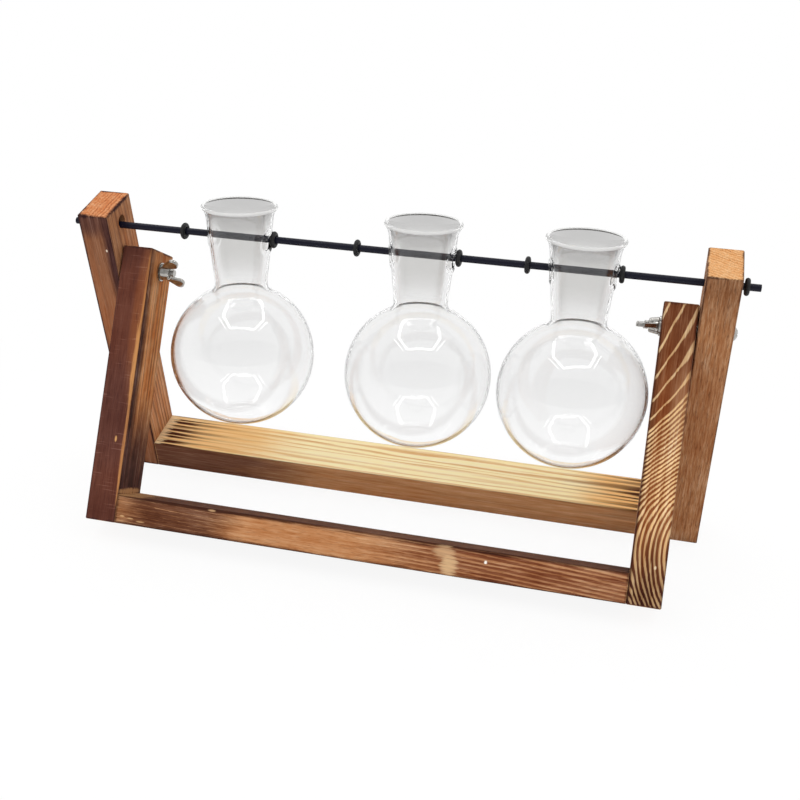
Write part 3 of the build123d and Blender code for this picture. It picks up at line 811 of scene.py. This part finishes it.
def wallProfile(inset):  # from the base up to the neck's top, in mm about the rod's axis
    below, bulb = flask["bulbBelowRod"], flask["bulbDiameter"] / 2
    ball = bulb - inset
    baseHeight = -below - math.sqrt(bulb ** 2 - (flask["baseDiameter"] / 2) ** 2) + inset
    baseRadius = math.sqrt(ball ** 2 - (baseHeight + below) ** 2)
    points = []
    for share in (0, *stepped(0, 1, flask["baseRows"])):
        points.append((baseRadius * share, baseHeight + flask["punt"] * (1 - share ** 2) ** 2))
    lean = (flask["neckTopDiameter"] - flask["neckRootDiameter"]) / 2 / (flask["neckTop"] - flask["neckRoot"])
    long = math.hypot(1, lean)
    upward, outward = Vector((lean, 1)) / long, Vector((1, -lean)) / long
    fillet = flask["shoulder"] + inset
    start = Vector((neckRadius(0) - inset, 0)) + fillet * outward
    bulbCentre = Vector((0, -below))
    fromBulb = start - bulbCentre
    reach = -fromBulb.dot(upward)
    offAxis = (fromBulb + upward * reach).length
    centre = start + upward * (reach + math.sqrt((ball + fillet) ** 2 - offAxis ** 2))
    towards = (centre - bulbCentre).normalized()
    meet = bulbCentre + towards * ball
    first = math.asin(baseRadius / ball)
    last = math.atan2(meet.x, -(meet.y + below))
    for angle in stepped(first, last, flask["bulbRows"]):
        points.append((ball * math.sin(angle), -below - ball * math.cos(angle)))
    turnFrom = math.atan2(-towards.y, -towards.x)
    turnTo = math.atan2(-outward.y, -outward.x)
    if turnTo > turnFrom:
        turnTo -= 2 * math.pi
    if turnFrom - turnTo > math.pi:
        turnTo += 2 * math.pi
    for angle in stepped(turnFrom, turnTo, flask["shoulderRows"]):
        points.append((centre.x + fillet * math.cos(angle), centre.y + fillet * math.sin(angle)))
    low = -flask["holeDrop"] - flask["windowHalf"]
    high = -flask["holeDrop"] + flask["windowHalf"]
    heights = stepped(points[-1][1], low, flask["neckRows"])
    window = len(points) + len(heights) - 1
    heights += [*stepped(low, high, flask["windowRows"]), flask["neckTop"]]
    return points + [(neckRadius(z) - inset, z) for z in heights], window


def flaskMesh():
    outer, outerWindow = wallProfile(0.0)
    inner, innerWindow = wallProfile(flask["wall"])
    rim = flask["rimRadius"]
    rimX, rimZ = flask["rimDiameter"] / 2 - rim, flask["rimTop"] - rim
    angles = [math.radians(a) for a in range(flask["rimFrom"], flask["rimTo"] + 1, flask["rimStep"])]
    around = [(rimX + rim * math.cos(a), rimZ + rim * math.sin(a)) for a in angles]
    joinOut = bezier(outer[-1], flask["outerFlare"], around[0], flask["outerFlareRows"])
    joinIn = bezier(around[-1], flask["innerFlare"], inner[-1], flask["innerFlareRows"])
    profile = outer + joinOut + around[1:] + joinIn + inner[-2::-1]
    rimFrom = len(outer) + len(joinOut) - 1
    rimRows = range(rimFrom, rimFrom + len(around) - 1)
    innerTop = len(profile) - 1 - innerWindow - flask["windowRows"]
    columns, side = flask["columns"], flask["windowColumns"]
    shape = bmesh.new()
    grid = []
    for r, z in profile:
        if r < 1e-6:
            grid.append([shape.verts.new((0, 0, z * mm))] * columns)
            continue
        grid.append([shape.verts.new(onCircle(r, 2 * math.pi * k / columns, z)) for k in range(columns)])
    windows = ((outerWindow, outerWindow + flask["windowRows"]), (innerTop, innerTop + flask["windowRows"]))
    for i in range(len(profile) - 1):
        for k in range(columns):
            if (k + side) % (columns // 2) < 2 * side and any(a <= i < b for a, b in windows):
                continue
            j = (k + 1) % columns
            corners = [grid[i][k], grid[i][j], grid[i + 1][j], grid[i + 1][k]]
            face = shape.faces.new(list(dict.fromkeys(corners)))
            face.material_index = 1 if i in rimRows else 0

    # Each hole's melted bead: from the outer window over the bead to the inner one, as distance and height.
    wall, section, beadEdge = flask["wall"], flask["beadSection"], flask["beadEdge"]
    beadCentre = flask["holeDiameter"] / 2 + section
    steps = [("blend", t, wall / 2) for t in stepped(0, 1, flask["blendRows"])]
    for t in stepped(0, 1, flask["swellRows"]):
        swell = wall / 2 + (section - wall / 2) * t * t * (3 - 2 * t)
        steps.append(("ring", beadEdge + (beadCentre - beadEdge) * t, swell))
    for angle in stepped(0, math.pi / 2, flask["roundRows"]):
        steps.append(("ring", beadCentre - section * math.sin(angle), section * math.cos(angle)))
    steps += [(kind, value, -height) for kind, value, height in reversed(steps[:-1])]
    for half in (0, columns // 2):
        loops = []
        for low, high in (windows[0], (windows[1][1], windows[1][0])):
            step = 1 if high > low else -1
            loop = [(low, c) for c in range(-side, side)]
            loop += [(r, side) for r in range(low, high, step)]
            loop += [(high, c) for c in range(side, -side, -1)]
            loop += [(r, -side) for r in range(high, low, -step)]
            loops.append(loop)
        polar = []
        for row, column in loops[0]:
            z = profile[row][1]
            y = (neckRadius(z) - wall / 2) * math.sin(2 * math.pi * column / columns)
            polar.append((math.hypot(y, z + flask["holeDrop"]), math.atan2(z + flask["holeDrop"], y)))
        rings = [[grid[row][(column + half) % columns] for row, column in loops[0]]]
        for kind, value, height in steps:
            rings.append([])
            for far, angle in polar:
                rho = far + (beadEdge - far) * value if kind == "blend" else value
                y, z = rho * math.cos(angle), rho * math.sin(angle) - flask["holeDrop"]
                middle = neckRadius(z) - wall / 2
                theta = math.asin(y / middle) + 2 * math.pi * half / columns
                rings[-1].append(shape.verts.new(onCircle(middle + height, theta, z)))
        rings.append([grid[row][(column + half) % columns] for row, column in loops[1]])
        for here, there in zip(rings, rings[1:]):
            bridge(shape, here, there)
    loose = [v for v in shape.verts if not v.link_faces]
    bmesh.ops.delete(shape, geom=loose, context="VERTS")
    bmesh.ops.recalc_face_normals(shape, faces=shape.faces)
    innerWall = shape.verts.layers.float.new("innerWall")
    for vert in shape.verts:
        outwards = Vector((vert.co.x, vert.co.y, 0)).dot(vert.normal)
        vert[innerWall] = 1.0 if outwards < 0 else 0.0
    return meshOf(shape, "flask")


blown = flaskMesh()
faceMaterials = [face.material_index for face in blown.polygons]
for spot in ("left", "middle", "right"):
    lo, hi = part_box(spot + "_flask")
    mesh = blown.copy()
    mesh.transform(Matrix.Translation(((lo.x + hi.x) / 2, rodAxis.y, rodAxis.z)))
    obj = newObject(spot + "_flask_blown", mesh, glass)
    mesh.materials.append(rimGlass)
    mesh.polygons.foreach_set("material_index", faceMaterials)
    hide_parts(spot + "_flask")
    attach(obj, spot + "_flask")
print("flasks blown:", len(blown.polygons), "faces each")


# Studio: white all round with a grey card behind the camera, strip lamps overhead in a six-sided loop,
# and a floor that keeps a soft shadow.
studio = {
    "ambient": 0.92,
    "loopNear": 1.04, "loopMiddle": 1.46, "loopFar": 0.74,    # m, the loop's width
    "loopLength": 1.74, "loopBend": -0.2, "loopHeight": 1.48,
    "loopTurn": 15.0,                                         # degrees
    "loopCentre": (-0.012, 0.12),
    "stripWidth": 0.085, "outerGap": 0.2, "outerWidth": 0.035,
    "radiance": 5.8,
    "cardTowards": (0.2, -0.93, 0.3), "cardFade": (-0.2, 1.0), "cardLevel": 0.5,
    "floorHalf": 4.0, "shadowNear": 0.10, "shadowFar": 0.36, "shadowShare": 0.10,
}


def backdropRays(add):  # rays that see the backdrop, straight or in metal and glass
    path = add("LightPath", {}).node.outputs
    seen = add("Math MAXIMUM", {0: path["Is Camera Ray"], 1: path["Is Glossy Ray"]})
    seen = add("Math MAXIMUM", {0: seen, 1: path["Is Transmission Ray"]})
    return seen, path["Is Glossy Ray"]


world = bpy.data.worlds.new("white tent")
bpy.context.scene.world = world
world.use_nodes = True
world.node_tree.nodes.clear()
add = partial(addNode, world.node_tree, "ShaderNode")
seen, mirrored = backdropRays(add)
level = add("MapRange", {"Value": seen, "To": (studio["ambient"], 1.0)})
direction = add("TexCoord", {}, "Generated")
towards = add("VectorMath DOT_PRODUCT", {0: direction, 1: studio["cardTowards"]}, "Value")
card = add("MapRange", {
    **smoothStep, "Value": towards, "From": studio["cardFade"], "To Max": studio["cardLevel"] - 1.0})
level = add("Math MULTIPLY_ADD", {0: card, 1: mirrored, 2: level})
tent = add("Background", {"Color": linear("#FFFFFF"), "Strength": level})
add("OutputWorld", {"Surface": tent})

cloth, add = newMaterial("white cloth, plain")
seen, _ = backdropRays(add)
place = add("TexCoord", {}, "Object")
far = add("VectorMath LENGTH", {0: place}, "Value")
glow = add("MapRange", {
    **smoothStep, "Value": far, "From": (studio["shadowNear"], studio["shadowFar"]),
    "To": (1 - studio["shadowShare"], 1.0)})
glow = add("Math MULTIPLY", {0: glow, 1: seen})
matt = add("BsdfDiffuse", {"Color": linear("#FAFAFA")})
white = add("Emission", {"Color": linear("#FFFFFF"), "Strength": 1.0})
add("OutputMaterial", {"Surface": add("MixShader", {0: glow, 1: matt, 2: white})})
sheet = bmesh.new()
bmesh.ops.create_grid(sheet, x_segments=1, y_segments=1, size=studio["floorHalf"])
newObject("floor", meshOf(sheet, "floor"), cloth)

loopPlace = Matrix.Translation((*studio["loopCentre"], studio["loopHeight"]))
loopPlace = loopPlace @ Matrix.Rotation(math.radians(studio["loopTurn"]), 4, "Z")
halfLength = studio["loopLength"] / 2
strips = []  # ends and width
for sign in (-1, 1):
    near = Vector((sign * studio["loopNear"] / 2, -halfLength))
    middle = Vector((sign * studio["loopMiddle"] / 2, studio["loopBend"]))
    far = Vector((sign * studio["loopFar"] / 2, halfLength))
    aside = Vector((sign * studio["outerGap"], 0.0))
    end = near if sign < 0 else far
    strips += [
        (near, middle, studio["stripWidth"]), (middle, far, studio["stripWidth"]),
        (near + aside, middle + aside, studio["outerWidth"]),
        (end, Vector((-end.x, end.y)), studio["stripWidth"])]
for k, (start, stop, width) in enumerate(strips):
    run = stop - start
    lamp = bpy.data.lights.new(f"strip {k + 1}", "AREA")
    lamp.shape = "RECTANGLE"
    lamp.size, lamp.size_y = run.length, width
    lamp.energy = math.pi * run.length * width * studio["radiance"]
    obj = bpy.data.objects.new(lamp.name, lamp)
    bpy.context.scene.collection.objects.link(obj)
    stripPlace = Matrix.Translation(((start + stop) / 2).to_3d())
    obj.matrix_world = loopPlace @ stripPlace @ Matrix.Rotation(math.atan2(run.y, run.x), 4, "Z")
    obj.visible_camera = False

view = {"place": (0.1165, -0.4785, 0.2787), "yaw": -13.144, "pitch": -23.134, "roll": 2.027, "lens": 51.07}
camera = bpy.data.cameras.new("camera")
camera.sensor_width = 36.0
camera.lens = view["lens"]
camera.clip_start = 0.01
eye = bpy.data.objects.new("camera", camera)
bpy.context.scene.collection.objects.link(eye)
eyePlace = Matrix.Translation(view["place"])
for degrees, axis in ((-view["yaw"], "Z"), (90 + view["pitch"], "X"), (view["roll"], "Z")):
    eyePlace = eyePlace @ Matrix.Rotation(math.radians(degrees), 4, axis)
eye.matrix_world = eyePlace
bpy.context.scene.camera = eye
bpy.context.scene.view_settings.view_transform = "Standard"
print("studio set")
